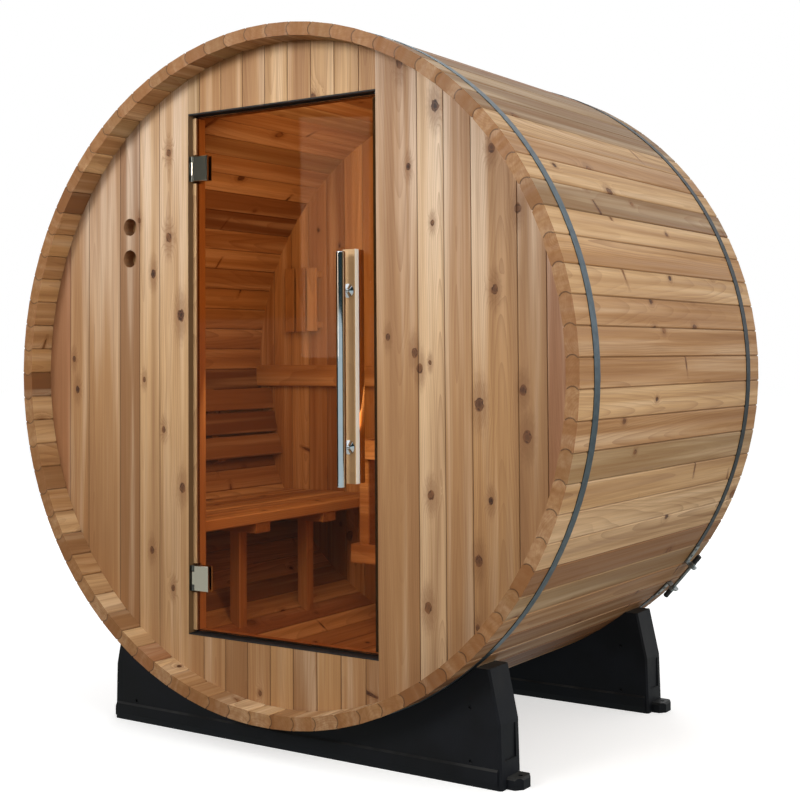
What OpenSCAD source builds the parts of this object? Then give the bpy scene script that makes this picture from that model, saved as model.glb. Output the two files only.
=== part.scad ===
// Barrel sauna cabin for two people: a barrel of ball-and-socket staves held by two
// steel bands, lying in two moulded cradles, with round board walls let into the staves,
// a frameless glass door in the front wall, and benches along both sides.
// Millimetres. +Z is up, the door faces -Y, the origin is on the ground at the middle.

/* [Barrel] */
// Outside of the barrel, measured across the flat faces of the staves
barrel_d = 1829; // [1500:1:2400]
// Length of the staves, front to back
barrel_len = 1168; // [900:1:2400]
// How many staves make the full circle
stave_count = 79; // [48:1:110]
// Thickness of a stave
stave_t = 35; // [28:1:45]
// Radius of the rounded bead on one edge of a stave and of the cove on the other
bead_r = 16; // [12:0.5:20]
// How far the bead stands into the next stave
bead_rise = 7.5; // [4:0.5:10]
// Small chamfer along the long edges, which leaves a V between staves
stave_chamfer = 3; // [1:0.5:5]
// Height of the lowest stave above the ground
barrel_lift = 85.5; // [60:0.5:140]

/* [Round walls] */
// Distance from the stave ends in to the face of each round wall
wall_set = 74; // [40:1:200]
// Thickness of the wall boards
wall_t = 38; // [28:1:45]
// Width that a narrow wall board covers
board_w = 77.5; // [60:0.5:140]
// Width that a wide wall board covers, beside the doorway and near the barrel
wide_board_w = 127; // [90:0.5:180]
// Depth of the croze, the groove in the staves that holds a wall
croze_depth = 10; // [6:0.5:14]
// Length of the tongue on a wall board
tongue_len = 8; // [5:0.5:12]
// Chamfer on the visible long edges of a wall board
board_chamfer = 1.5; // [0.5:0.5:4]
// Diameter of the two round air vents beside the door
vent_d = 50; // [30:1:90]
// Board that the vents pass, where 0 is the one beside the doorway
vent_board = 2; // [1:1:3]
// Height of the middle of the vents above the barrel's axis
vent_rise = 372; // [200:1:500]
// Distance between the two vents
vent_pitch = 91; // [70:1:150]

/* [Door] */
// Clear width of the doorway
door_w = 638; // [500:1:750]
// Distance of the doorway's middle from the barrel's, negative towards the hinges
door_shift = -8; // [-40:1:40]
// Height of the wall above the doorway, and below it
door_margin = 157.5; // [100:0.5:260]
// Thickness of the glass
glass_t = 8; // [6:1:12]
// Depth of the glass behind the face of the front wall
glass_set = 19; // [17:1:36]
// Free gap above, below and on the free side of the glass
glass_gap = 6; // [5:0.5:10]
// Gap on the hinge side, mostly closed by a filler strip
hinge_gap = 17.5; // [14:0.5:24]
// Thickness of the black strips that line the head and the sill
seal_t = 3.5; // [2:0.5:6]
// Distance of a hinge's middle from the end of the doorway
hinge_end = 153.5; // [80:0.5:300]
// Height of a hinge plate
hinge_h = 70; // [50:1:100]
// Width of a hinge plate on the glass
hinge_w = 50; // [35:1:80]
// Diameter of the hinge pins
pin_d = 5; // [4:0.5:8]

/* [Door handle] */
// Distance of the handle from the free side of the doorway
handle_in = 86.5; // [50:0.5:150]
// Length of the round metal bar
handle_len = 600; // [300:1:900]
// Diameter of the round metal bar
handle_d = 25; // [18:1:35]
// Distance between the two posts
handle_pitch = 400; // [200:1:700]
// Distance of the bar's axis in front of its wooden backing
handle_stand = 34; // [30:1:60]
// Length of the wooden backing bar
backing_len = 600; // [300:1:900]
// Width of the wooden backing bar
backing_w = 40; // [30:1:60]
// Thickness of the wooden backing bar
backing_t = 19; // [12:1:30]
// Diameter of the flange at the foot of a post
flange_d = 36; // [26:1:40]

/* [Bands] */
// Width of a steel band
band_w = 30; // [20:1:50]
// Thickness of a steel band
band_t = 1.5; // [0.8:0.1:3]
// Distance of a band's middle from the nearer stave ends
band_set = 88; // [50:1:250]
// Height of the folded lugs that the tension rod passes
lug_h = 34; // [24:1:50]
// Distance between the two lugs of a band
lug_pitch = 84; // [60:1:140]
// Length of a bracket's foot along the band
bracket_foot = 58; // [40:1:90]
// Diameter of the tension rod
rod_d = 9; // [6:0.5:12]
// Direction of the tensioners below the horizontal, in degrees
tensioner_angle = 41; // [20:1:50]

/* [Cradles] */
// Width of a cradle across the barrel, at the ground
cradle_w = 1286; // [1000:1:1600]
// Thickness of a cradle along the barrel
cradle_t = 96; // [60:1:150]
// Height of the upright side of a cradle
cradle_side_h = 157; // [100:1:200]
// Height of the two horns that hold the barrel
cradle_h = 286; // [200:1:340]
// How far the horns lean in above the upright side
cradle_lean = 28; // [0:1:60]
// Height of the flange along the foot of a cradle
foot_h = 50; // [30:1:80]
// How far the flange stands proud of the faces
foot_proud = 5; // [2:0.5:12]
// Chamfer along the ends of a cradle
cradle_chamfer = 5; // [2:0.5:10]
// How far a fixing ear stands out at each end
ear_len = 37; // [25:1:60]
// Diameter of the anchor hole in an ear
ear_hole_d = 12; // [8:0.5:18]

/* [Benches] */
// Height of the bench tops above the lowest stave
seat_h = 459; // [380:1:520]
// Clear aisle between the benches
aisle_w = 684; // [560:1:900]
// Width of a bench board
seat_board_w = 76; // [50:1:120]
// Chamfer along the edges of boards and slats
edge_c = 3; // [1:0.5:6]
// Thickness of a bench board
seat_board_t = 32; // [19:1:40]
// Gap between bench boards
seat_gap = 7; // [3:1:15]
// Width of a bearer under the bench boards
bearer_w = 65; // [40:1:90]
// Thickness of a bearer
bearer_t = 28; // [19:1:45]
// Side of a square bench leg
leg_w = 35; // [25:1:60]
// Distance of the two support frames from the cabin's middle
frame_y = 165; // [80:1:420]
// Distance of a leg behind the front of the bench
leg_set = 82; // [20:1:200]
// Height of a back-rest slat
back_slat_w = 73; // [50:1:100]
// Thickness of a back-rest slat
back_slat_t = 20; // [12:1:30]
// Angle from slat to slat around the barrel, in degrees
back_step = 5.6; // [5.4:0.1:8]
// Thickness of the curved battens behind the back rest
batten_t = 30; // [15:1:60]

/* [Inside fittings] */
// Height of the brace across the rear wall
brace_h = 74; // [50:1:120]
// Thickness of that brace
brace_t = 22; // [15:1:40]
// Distance of the lamp cover from the cabin's middle
lamp_x = 670; // [200:1:700]
// Height of the lamp cover's middle above the barrel's axis
lamp_rise = 240; // [100:1:400]
// Height of the lamp cover
lamp_h = 220; // [150:1:300]
// Width of a slat of the lamp cover
lamp_slat_w = 40; // [25:1:60]
// Width of the guard rail in front of the heater's place
guard_w = 524; // [350:1:640]
// Distance that the guard rail stands out from the rear wall
guard_out = 280; // [180:1:350]
// Height of the guard rail
guard_h = 385; // [250:1:500]
// Height of the guard rail's top above the lowest stave
guard_top = 655; // [450:1:900]

/* [Hidden] */
$fn = 96;

// clearances
stave_gap = 0.3;  // between neighbouring staves and boards
fit = 0.3;        // between a piece and its seat
run = 0.1;        // hinge pin in its turning knuckle
snug = 0.05;      // bracket on its band, cap on its rod, seal in its place
swing = 5;        // anything that moves to anything that does not

// barrel
barrel_r = barrel_d / 2;
inner_r = barrel_r - stave_t;
mid_r = (barrel_r + inner_r) / 2;
axis_h = barrel_lift + barrel_r;
stave_a = 180 / stave_count;
corner_r = sqrt(pow(barrel_r, 2) + pow(barrel_r * tan(stave_a) - stave_chamfer, 2));

// round walls
wall_r = inner_r + croze_depth - fit;
wall_y = barrel_len / 2 - wall_set;      // outer face of a wall
inside_y = wall_y - wall_t;              // inner face of a wall
board_n = ceil(wall_r / board_w - 0.5);
door_board = ceil((door_w / board_w - 1) / 2); // narrow board in line with the doorway's edge
over_shift = -12.5;  // the short boards over the doorway do not line up with those under it
jamb_trim = 2.5;     // ripped off the first board on the doorway's free side
side_start = door_w / 2 - abs(door_shift) - jamb_trim;
side_pattern = [1, 0, 0, 1, 0]; // wide (1) and narrow (0) boards from the doorway outwards, repeated
function side_w(k) = side_pattern[k % len(side_pattern)] == 1 ? wide_board_w : board_w;
function side_x(k) = k == 0 ? side_start : side_x(k - 1) + side_w(k - 1);
side_n = len([for (k = [0 : ceil(wall_r / board_w)]) if (side_x(k) < wall_r) k]);
vent_x = side_x(vent_board) + side_w(vent_board) / 2;

// door
hinge_side_x = door_shift - door_w / 2;
free_side_x = door_shift + door_w / 2;
door_h = 2 * (inner_r - door_margin);
hinge_rise = door_h / 2 - hinge_end;     // above and below the axis
glass_y = -wall_y + glass_set;           // outer face of the glass
stop_over = 16;                          // stop over the free side of the doorway
stop_end_over = 10;                      // and over its head and sill
stop_w = 60;
stop_t = 19;
seal_lip = 1.5;                          // part of a seal that stands up on the lip of the stop
lip_y = glass_y + glass_t + swing + seal_lip + fit;
glass_w = door_w - glass_gap - hinge_gap;
glass_x = door_shift + (hinge_gap - glass_gap) / 2;
glass_h = door_h - 2 * glass_gap - 2 * seal_t;
knuckle_r = pin_d / 2 + 2;
knuckle_gap = 1;                         // turning knuckle to the leaf
ear_gap = 3;                             // and to the ears above and below it
pin_x = hinge_side_x + knuckle_r + knuckle_gap;
pin_y = glass_y - 7;
plate_t = 9;
plate_back_t = 3.5;
plate_back_in = 8;                       // back plate starts further from the pin
plate_c = 1.5;
plate_x = pin_x + knuckle_r + 0.7;
gasket = 0.5;
leaf_t = 3;
leaf_w = 24;
leaf_front = 8;                          // leaf in front of the pin
knuckle_h = hinge_h / 2;
leaf_ear_h = (hinge_h - knuckle_h) / 2 - ear_gap;
handle_x = free_side_x - handle_in;
handle_z = 10;                           // above the axis
backing_z = 17;
post_d = 8;
backing_round = 3;
bar_round = 3;
handle_y = glass_y - gasket - backing_t - handle_stand;

// bands
band_y = barrel_len / 2 - band_set;
band_ri = corner_r + fit;
band_end_a = asin(lug_pitch / 2 / band_ri);
foot_r = band_ri + band_t + snug;
foot_a = bracket_foot / foot_r * 180 / PI;
foot_t = 3;
rivet_d = 8;
rivet_h = 2;
lug_t = 4;
lug_x = sqrt(pow(foot_r, 2) - pow(lug_pitch / 2, 2));
lug_round = 8;
foot_start = asin((lug_pitch + lug_t) / 2 / foot_r);
rod_r = lug_x + lug_h * 0.55;
washer_d = 24;
washer_t = 2;
cap_len = 28;
cap_d = 15;
nut_d = 17;
nut_t = 8;
nut_end = lug_pitch / 2 + lug_t + snug + washer_t + nut_t;
rod_len = 2 * (nut_end + cap_len - 8);

// cradles
band_room = 4;                             // band to cradle
cradle_y = band_y - band_w / 2 - band_room - cradle_t / 2;
seat_arc_r = corner_r + fit;
ear_w = 70;
ear_h = 28;
ear_back = 2;      // ear to the rear face of its cradle
ear_root = 3;      // how far an ear runs into the cradle
ear_c = 5;
side_draft = 4;
flange_in = 10;    // flange to the end of the cradle
panel_depth = 2;
panel_w = cradle_t - 40;
panel_h = cradle_side_h - foot_h - 24;
dimple_d = 10;
dimple_x = cradle_w / 2 - 86;

// benches
seat_z = axis_h - inner_r + seat_h;
bearer_z = seat_z - seat_board_t;
seat_back_x = sqrt(pow(inner_r, 2) - pow(axis_h - bearer_z, 2)); // barrel's side at the bearers
seat_boards = floor((seat_back_x - aisle_w / 2 + seat_gap) / (seat_board_w + seat_gap));
seat_end = 2;                              // bench ends to the walls
bench_len = 2 * inside_y - stop_t - 2 * seat_end;
bench_y = stop_t / 2;                      // the boards end behind the door stop
lining_r = inner_r - fit;
back_r = inner_r - batten_t;
back_first = 7.2; // degrees below the horizontal
back_n = 3;

// ---------- helpers ----------

// puts a drawing made in the barrel's cross-section, seen from the front, on its axis
module on_axis() translate([0, 0, axis_h]) rotate([90, 0, 0]) children();

function half_w(r) = r * tan(stave_a) - stave_gap / 2;

// rectangle with its corners cut at 45 degrees
module chamfered(w, h, c) polygon([
    [-w / 2 + c, -h / 2], [w / 2 - c, -h / 2], [w / 2, -h / 2 + c], [w / 2, h / 2 - c],
    [w / 2 - c, h / 2], [-w / 2 + c, h / 2], [-w / 2, h / 2 - c], [-w / 2, -h / 2 + c]
]);

// rectangle with rounded corners
module rounded(w, h, r) {
    square([w - 2 * r, h], center = true);
    square([w, h - 2 * r], center = true);
    for (x = [-1, 1], y = [-1, 1]) translate([x * (w / 2 - r), y * (h / 2 - r)]) circle(r = r, $fn = 32);
}

// timber with chamfered long edges, its length along X, along Y or upright
module timber_z(w, d, l) linear_extrude(height = l, center = true) chamfered(w, d, edge_c);
module timber_x(l, w, h) rotate([90, 0, 90]) timber_z(w, h, l);
module timber_y(w, l, h) rotate([90, 0, 0]) timber_z(w, h, l);

// metal plate standing in the XZ plane, all its front and back edges chamfered
module bevelled_plate(w, t, h, c) intersection() {
    linear_extrude(height = h, center = true) chamfered(w, t, c);
    rotate([90, 0, 90]) linear_extrude(height = w, center = true) chamfered(t, h, c);
}

// ---------- barrel ----------

module bead(r) translate([-half_w(mid_r) + bead_r - bead_rise, mid_r]) circle(r = r);

// cross-section of a stave as it lies at the top of the barrel: bead on the left, cove on the right
module stave_profile() {
    c = stave_chamfer;
    difference() {
        union() {
            polygon([
                [-half_w(inner_r) + c, inner_r], [half_w(inner_r) - c, inner_r],
                [half_w(inner_r + c), inner_r + c], [half_w(barrel_r - c), barrel_r - c],
                [half_w(barrel_r) - c, barrel_r], [-half_w(barrel_r) + c, barrel_r],
                [-half_w(barrel_r - c), barrel_r - c], [-half_w(inner_r + c), inner_r + c]
            ]);
            bead(bead_r);
        }
        rotate([0, 0, -2 * stave_a]) bead(bead_r + stave_gap);
    }
}

// stave 0 lies at the right end of the horizontal diameter, the rest follow anticlockwise
module stave(i) {
    on_axis() rotate([0, 0, 2 * stave_a * i - 90]) difference() {
        linear_extrude(height = barrel_len, center = true) stave_profile();
        for (s = [-1, 1])
            translate([0, inner_r, s * (wall_y - wall_t / 2)])
                cube([4 * half_w(barrel_r), 2 * croze_depth, wall_t + 2 * fit], center = true);
    }
}

// one of eight sectors, counted from the right and turning anticlockwise as seen from the front
module stave_sector(k)
    for (i = [0 : stave_count - 1])
        if (floor(((i + stave_count / 16) % stave_count) * 8 / stave_count) == k) stave(i);

module staves_right() color("BurlyWood") stave_sector(0);
module staves_right_high() color("Tan") stave_sector(1);
module staves_roof() color("BurlyWood") stave_sector(2);
module staves_left_high() color("Tan") stave_sector(3);
module staves_left() color("BurlyWood") stave_sector(4);
module staves_left_low() color("Tan") stave_sector(5);
module staves_floor() color("BurlyWood") stave_sector(6);
module staves_right_low() color("Tan") stave_sector(7);

// ---------- round walls ----------

// tongued and grooved board, seen from above, the outer face towards -Y
module board_profile(cover) {
    w = cover / 2 - stave_gap / 2;
    c = board_chamfer;
    t = wall_t / 2;
    q = wall_t / 6;
    polygon([
        [-w + c, -t], [w - c, -t], [w, -t + c],
        [w, -q], [w + tongue_len, -q + 0.5], [w + tongue_len, q - 0.5], [w, q],
        [w, t - c], [w - c, t], [-w + c, t], [-w, t - c],
        [-w, q + stave_gap], [-w + tongue_len + 0.5, q + stave_gap - 0.5],
        [-w + tongue_len + 0.5, -q - stave_gap + 0.5], [-w, -q - stave_gap], [-w, -t + c]
    ]);
}

module board(x, cover) translate([x, 0, 0])
    linear_extrude(height = 2 * wall_r, center = true) board_profile(cover);

module wall_disc() rotate([90, 0, 0]) cylinder(r = wall_r, h = wall_t + 2, center = true, $fn = 180);

module vents() for (s = [-1, 1])
    translate([-vent_x, 0, vent_rise + s * vent_pitch / 2])
        rotate([90, 0, 0]) cylinder(d = vent_d, h = 3 * wall_t, center = true);

module at_front_wall() translate([0, -wall_y + wall_t / 2, axis_h]) children();
module at_rear_wall() translate([0, wall_y - wall_t / 2, axis_h]) children();

// the boards left of a doorway whose edge lies at distance edge from the middle
module wall_side(edge) for (k = [0 : side_n - 1]) intersection() {
    board(-side_x(k) - side_w(k) / 2, side_w(k));
    wall_disc();
    translate([-wall_r - edge, 0, 0]) cube([2 * wall_r, 2 * wall_t, 2 * wall_r], center = true);
}

// the short boards over (1) or under (-1) the doorway
module wall_short(side, shift) {
    for (i = [-door_board - 1 : door_board + 1]) intersection() {
        board(i * board_w + shift, board_w);
        wall_disc();
        translate([door_shift, 0, side * (door_h / 2 + wall_r)])
            cube([door_w - 2 * stave_gap, 2 * wall_t, 2 * wall_r], center = true);
    }
}

// mortises that let the hinge leaves into the side of the doorway
module leaf_mortises() at_hinges()
    translate([hinge_side_x - pin_x - leaf_t - fit, -leaf_front - fit, -hinge_h / 2 - fit])
        cube([2 * leaf_t, leaf_w + 2 * fit, hinge_h + 2 * fit]);

module front_wall_left() color("Wheat") difference() {
    at_front_wall() difference() {
        wall_side(-hinge_side_x);
        vents();
    }
    leaf_mortises();
}
module front_wall_right() color("Wheat") at_front_wall() mirror([1, 0, 0]) wall_side(free_side_x);
module front_wall_over_door() color("BurlyWood") at_front_wall() wall_short(1, over_shift);
module front_wall_under_door() color("BurlyWood") at_front_wall() wall_short(-1, 0);

module rear_boards(first, last) at_rear_wall()
    for (i = [first : last]) intersection() { board(i * board_w, board_w); wall_disc(); }

module rear_wall_left() color("Wheat") rear_boards(-board_n, -door_board - 1);
module rear_wall_middle() color("BurlyWood") rear_boards(-door_board, door_board);
module rear_wall_right() color("Wheat") rear_boards(door_board + 1, board_n);

// ---------- doorway and door ----------

// The four boards behind the front wall that the glass closes against. A lip reaches
// forward to the glass, and the hinge side has a filler strip instead.
module door_stop() color("Peru") translate([0, 0, axis_h]) {
    left = hinge_side_x + hinge_gap - swing - stop_w; // flush with the filler
    right = free_side_x - stop_over;
    side_h = door_h - 2 * stop_end_over - stave_gap;
    head_z = door_h / 2 - stop_end_over + stop_w / 2;
    lip_d = -inside_y - lip_y;
    lip_h = stop_end_over - fit - stave_gap / 2;
    for (x = [left, right]) translate([x, -inside_y, -side_h / 2]) cube([stop_w, stop_t, side_h]);
    for (s = [-1, 1]) {
        translate([(left + right + stop_w) / 2, -inside_y + stop_t / 2, s * head_z])
            cube([right + stop_w - left, stop_t, stop_w - stave_gap], center = true);
        translate([door_shift, lip_y + lip_d / 2 + 0.5, s * (door_h / 2 - fit - lip_h / 2)])
            cube([door_w - 2 * fit, lip_d + 1, lip_h], center = true);
    }
    translate([free_side_x - fit - (stop_over - fit) / 2, lip_y + lip_d / 2 + 0.5, 0])
        cube([stop_over - fit, lip_d + 1, side_h], center = true);
    filler(side_h);
}

// strip on the side of the doorway behind the hinges, cut away round them
module filler(h) {
    w = hinge_gap - swing - fit;
    d = -inside_y - glass_y;
    difference() {
        translate([hinge_side_x + fit + w / 2, glass_y + d / 2 + 0.5, 0])
            cube([w, d + 1, h], center = true);
        for (s = [-1, 1]) translate([hinge_side_x + hinge_gap / 2, glass_y, s * hinge_rise])
            cube([2 * hinge_gap, 3 * d, hinge_h + 2 * swing], center = true);
    }
}

// angle strips along the head and the sill: one leg under the wall, one on the lip of the stop
module door_seals() color("Black") {
    front = -wall_y + 1;
    back = lip_y - fit;
    edge = door_h / 2;
    for (s = [0, 1]) translate([door_shift, 0, axis_h]) mirror([0, 0, s])
        rotate([90, 0, 90]) linear_extrude(height = door_w - 2 * fit, center = true) polygon([
            [front, edge - snug], [back, edge - snug], [back, edge - stop_end_over],
            [back - seal_lip, edge - stop_end_over], [back - seal_lip, edge - seal_t], [front, edge - seal_t]
        ]);
}

module handle_holes(d) for (s = [-1, 1])
    translate([handle_x, glass_y, axis_h + handle_z + s * handle_pitch / 2])
        rotate([90, 0, 0]) cylinder(d = d, h = 200, center = true, $fn = 48);

module door_glass() color("SaddleBrown", 0.5) difference() {
    translate([glass_x, glass_y + glass_t / 2, axis_h]) cube([glass_w, glass_t, glass_h], center = true);
    handle_holes(12);
}

module at_hinges() for (s = [-1, 1]) translate([pin_x, pin_y, axis_h + s * hinge_rise]) children();

// fixed half of a hinge: a leaf let into the side of the doorway, with two bored ears
module hinge_leaves() color("Silver") at_hinges() difference() {
    reach = pin_x - hinge_side_x + leaf_t;
    union() {
        translate([-reach, -leaf_front, -hinge_h / 2]) cube([leaf_t, leaf_w, hinge_h]);
        for (s = [-1, 1]) translate([0, 0, s * (hinge_h - leaf_ear_h) / 2]) {
            cylinder(r = knuckle_r, h = leaf_ear_h, center = true);
            translate([-reach / 2, 0, 0]) cube([reach, knuckle_r, leaf_ear_h], center = true);
        }
    }
    cylinder(d = pin_d, h = 2 * hinge_h, center = true);
}

module hinge_pins() color("Gray") at_hinges() cylinder(d = pin_d, h = hinge_h, center = true);

// moving half: a knuckle with its plate on the glass, and the plate behind the glass
module hinge_clamps() color("LightGray") at_hinges() {
    front_y = glass_y - gasket - plate_t - pin_y;
    difference() {
        union() {
            cylinder(r = knuckle_r, h = knuckle_h, center = true);
            translate([0, front_y, -knuckle_h / 2]) cube([plate_x - pin_x + 2, plate_t, knuckle_h]);
            translate([plate_x - pin_x + hinge_w / 2, front_y + plate_t / 2, 0])
                bevelled_plate(hinge_w, plate_t, hinge_h, plate_c);
        }
        cylinder(d = pin_d + 2 * run, h = 2 * hinge_h, center = true);
    }
    back_y = glass_y + glass_t + gasket + plate_back_t / 2 - pin_y;
    translate([plate_x - pin_x + hinge_w / 2 + plate_back_in / 2, back_y, 0])
        bevelled_plate(hinge_w - plate_back_in, plate_back_t, hinge_h, plate_back_t / 3);
}

// wooden bar of width w whose middle lies at y
module backing_bar(y, w) difference() {
    translate([handle_x, y, axis_h + backing_z])
        linear_extrude(height = backing_len, center = true) rounded(w, backing_t, backing_round);
    handle_holes(post_d + 1);
}

module handle_backing() color("Khaki") backing_bar(glass_y - gasket - backing_t / 2, backing_w);
module inside_pull() color("Khaki") backing_bar(glass_y + glass_t + gasket + backing_t / 2, backing_w - 8);

// round bar with softened ends
module handle_bar() color("Silver")
    translate([handle_x, handle_y, axis_h + handle_z]) rotate_extrude() {
        translate([0, -handle_len / 2]) square([handle_d / 2 - bar_round, handle_len]);
        translate([0, -handle_len / 2 + bar_round]) square([handle_d / 2, handle_len - 2 * bar_round]);
        for (s = [-1, 1]) translate([handle_d / 2 - bar_round, s * (handle_len / 2 - bar_round)])
            circle(r = bar_round, $fn = 32);
    }

// post, flange and threaded end, turned as one piece, its end hollowed to fit the bar
module handle_posts() color("Silver") difference() {
    for (s = [-1, 1])
        translate([handle_x, handle_y, axis_h + handle_z + s * handle_pitch / 2])
            rotate([-90, 0, 0]) rotate_extrude() polygon([
                [0, 0], [6, 0], [6, handle_stand - 9], [flange_d / 2, handle_stand - 4],
                [flange_d / 2, handle_stand - fit], [post_d / 2, handle_stand - fit],
                [post_d / 2, handle_stand + 2 * backing_t + glass_t],
                [0, handle_stand + 2 * backing_t + glass_t]
            ]);
    translate([handle_x, handle_y, axis_h + handle_z])
        cylinder(d = handle_d + 2 * fit, h = handle_len, center = true);
}

// ---------- bands ----------

// flat steel band, drawn with its gap and the tensioner on the right
module band() rotate([0, 0, band_end_a])
    rotate_extrude(angle = 360 - 2 * band_end_a, $fn = 360)
        translate([band_ri, -band_w / 2]) square([band_t, band_w]);

// angle bracket riveted on the end of a band, the lug standing square to the rod
module bracket() {
    difference() {
        union() {
            rotate([0, 0, foot_start]) rotate_extrude(angle = foot_a, $fn = 360)
                translate([foot_r - foot_t, -band_w / 2]) square([2 * foot_t, band_w]);
            translate([lug_x, lug_pitch / 2 + lug_t, 0]) rotate([90, 0, 0]) linear_extrude(height = lug_t) {
                translate([-foot_t, -band_w / 2]) square([foot_t + lug_h - lug_round, band_w]);
                translate([0, lug_round - band_w / 2]) square([lug_h, band_w - 2 * lug_round]);
                for (s = [-1, 1]) translate([lug_h - lug_round, s * (band_w / 2 - lug_round)])
                    circle(r = lug_round);
            }
        }
        cylinder(r = foot_r, h = 2 * band_w, center = true, $fn = 360);
        translate([rod_r, 0, 0]) rotate([90, 0, 0]) cylinder(d = rod_d + 1, h = 2 * lug_pitch, center = true);
    }
    for (k = [0.4, 0.8]) rotate([0, 0, foot_start + k * foot_a]) translate([foot_r + foot_t - 0.5, 0, 0])
        rotate([0, 90, 0]) cylinder(d = rivet_d, h = rivet_h + 0.5);
}

// two brackets and the threaded rod with a washer and a nut outside each lug
module tensioner() {
    bracket();
    mirror([0, 1, 0]) bracket();
    translate([rod_r, 0, 0]) rotate([90, 0, 0]) {
        cylinder(d = rod_d, h = rod_len, center = true);
        for (s = [-1, 1]) {
            translate([0, 0, s * (nut_end - nut_t - washer_t / 2)])
                cylinder(d = washer_d, h = washer_t, center = true);
            translate([0, 0, s * (nut_end - nut_t / 2)])
                cylinder(d = nut_d, h = nut_t + 0.02, center = true, $fn = 6);
        }
    }
}

// plastic caps over the ends of the rod
module caps() translate([rod_r, 0, 0]) for (s = [-1, 1]) rotate([s * 90, 0, 0]) difference() {
    translate([0, 0, nut_end + snug]) rotate_extrude() polygon([
        [0, 0], [cap_d / 2, 0], [cap_d / 2, cap_len - 2], [cap_d / 2 - 2, cap_len], [0, cap_len]
    ]);
    cylinder(d = rod_d + 2 * snug, h = rod_len / 2 + fit);
}

module at_tensioner(front)
    translate([0, (front ? -1 : 1) * band_y, axis_h]) rotate([90, 0, 0])
        rotate([0, 0, front ? 180 + tensioner_angle : -tensioner_angle]) children();

module band_front() color("SlateGray") at_tensioner(true) band();
module band_rear() color("SlateGray") at_tensioner(false) band();
module tensioner_front() color("Gainsboro") at_tensioner(true) tensioner();
module tensioner_rear() color("Gainsboro") at_tensioner(false) tensioner();
module tensioner_caps() color("Black") for (front = [true, false]) at_tensioner(front) caps();

// ---------- cradles ----------

// fixing ear at the right end: its outline from above, from the front and from the side
module ear() {
    y0 = cradle_t / 2 - ear_back - ear_w;
    x1 = ear_len + ear_root;
    difference() {
        translate([cradle_w / 2 - ear_root, y0, 0]) intersection() {
            linear_extrude(height = ear_h) polygon([
                [0, 0], [x1 - 14, 0], [x1, 18], [x1, ear_w - 18], [x1 - 14, ear_w], [0, ear_w]
            ]);
            translate([0, ear_w, 0]) rotate([90, 0, 0]) linear_extrude(height = ear_w) polygon([
                [0, 0], [x1, 0], [x1, ear_h - ear_c], [x1 - ear_c, ear_h], [0, ear_h]
            ]);
            rotate([90, 0, 90]) linear_extrude(height = x1) polygon([
                [0, 0], [ear_w, 0], [ear_w, ear_h - ear_c], [ear_w - ear_c, ear_h],
                [ear_c, ear_h], [0, ear_h - ear_c]
            ]);
        }
        translate([cradle_w / 2 + ear_len / 2, y0 + ear_w / 2, -1]) cylinder(d = ear_hole_d, h = ear_h + 2);
    }
}

// chamfers one upright or leaning edge of the right end, from point a to point b of the profile
module cut_edge(a, b) {
    l = norm(b - a);
    for (s = [-1, 1]) translate([a[0], s * cradle_t / 2, a[1]])
        rotate([0, atan2(b[0] - a[0], b[1] - a[1]), 0]) translate([0, 0, l / 2]) rotate([0, 0, 45])
            cube([cradle_chamfer * sqrt(2), cradle_chamfer * sqrt(2), l + 2 * cradle_chamfer], center = true);
}

// flange along the foot: proud of the face, chamfered above and drawn in below
module foot_flange() rotate([90, 0, 90])
    linear_extrude(height = cradle_w - 2 * flange_in, center = true) polygon([
        [cradle_t / 2 - 1, 0], [cradle_t / 2, 0], [cradle_t / 2 + foot_proud, foot_h * 0.36],
        [cradle_t / 2 + foot_proud, foot_h - foot_proud], [cradle_t / 2, foot_h], [cradle_t / 2 - 1, foot_h]
    ]);

module cradle() {
    foot = [cradle_w / 2, 0];
    knee = [cradle_w / 2 - side_draft, cradle_side_h];
    horn = [knee[0] - cradle_lean, cradle_h];
    difference() {
        rotate([90, 0, 0]) linear_extrude(height = cradle_t, center = true) difference() {
            polygon([-1 * [foot[0], 0], foot, knee, horn, [-horn[0], horn[1]], [-knee[0], knee[1]]]);
            translate([0, axis_h]) circle(r = seat_arc_r, $fn = 360);
        }
        for (s = [0, 1]) mirror([s, 0, 0]) {
            cut_edge(foot, knee);
            cut_edge(knee, horn);
            // shallow panel in the upright end face
            translate([cradle_w / 2, 0, (foot_h + cradle_side_h) / 2 + 4])
                cube([2 * panel_depth + 2 * side_draft, panel_w, panel_h], center = true);
            // moulded recesses in both faces
            for (y = [-1, 1], z = [foot_h + 9, cradle_side_h + 31])
                translate([dimple_x, y * cradle_t / 2, z]) rotate([90, 0, 0])
                    cylinder(d = dimple_d, h = 8, center = true);
        }
    }
    foot_flange();
    mirror([0, 1, 0]) foot_flange();
    for (s = [0, 1]) mirror([s, 0, 0]) ear();
}

module cradle_front() color("DimGray") translate([0, -cradle_y, 0]) cradle();
module cradle_rear() color("DimGray") translate([0, cradle_y, 0]) cradle();

// ---------- benches ----------

module in_lining() intersection() {
    children();
    on_axis() cylinder(r = lining_r, h = barrel_len, center = true, $fn = 180);
}

module bench_boards() for (i = [0 : seat_boards - 1]) {
    x = -aisle_w / 2 - seat_board_w / 2 - i * (seat_board_w + seat_gap);
    translate([x, bench_y, seat_z - seat_board_t / 2]) timber_y(seat_board_w, bench_len, seat_board_t);
}

module bench_bearers() in_lining() for (s = [-1, 1])
    translate([-aisle_w / 2 - 3 - inner_r / 2, s * frame_y, bearer_z - bearer_t / 2])
        cube([inner_r, bearer_w, bearer_t], center = true);

module bench_legs() in_lining() for (s = [-1, 1])
    translate([-aisle_w / 2 - leg_set - leg_w / 2, s * frame_y, bearer_z - bearer_t - inner_r / 2])
        cube([leg_w, leg_w, inner_r], center = true);

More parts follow.
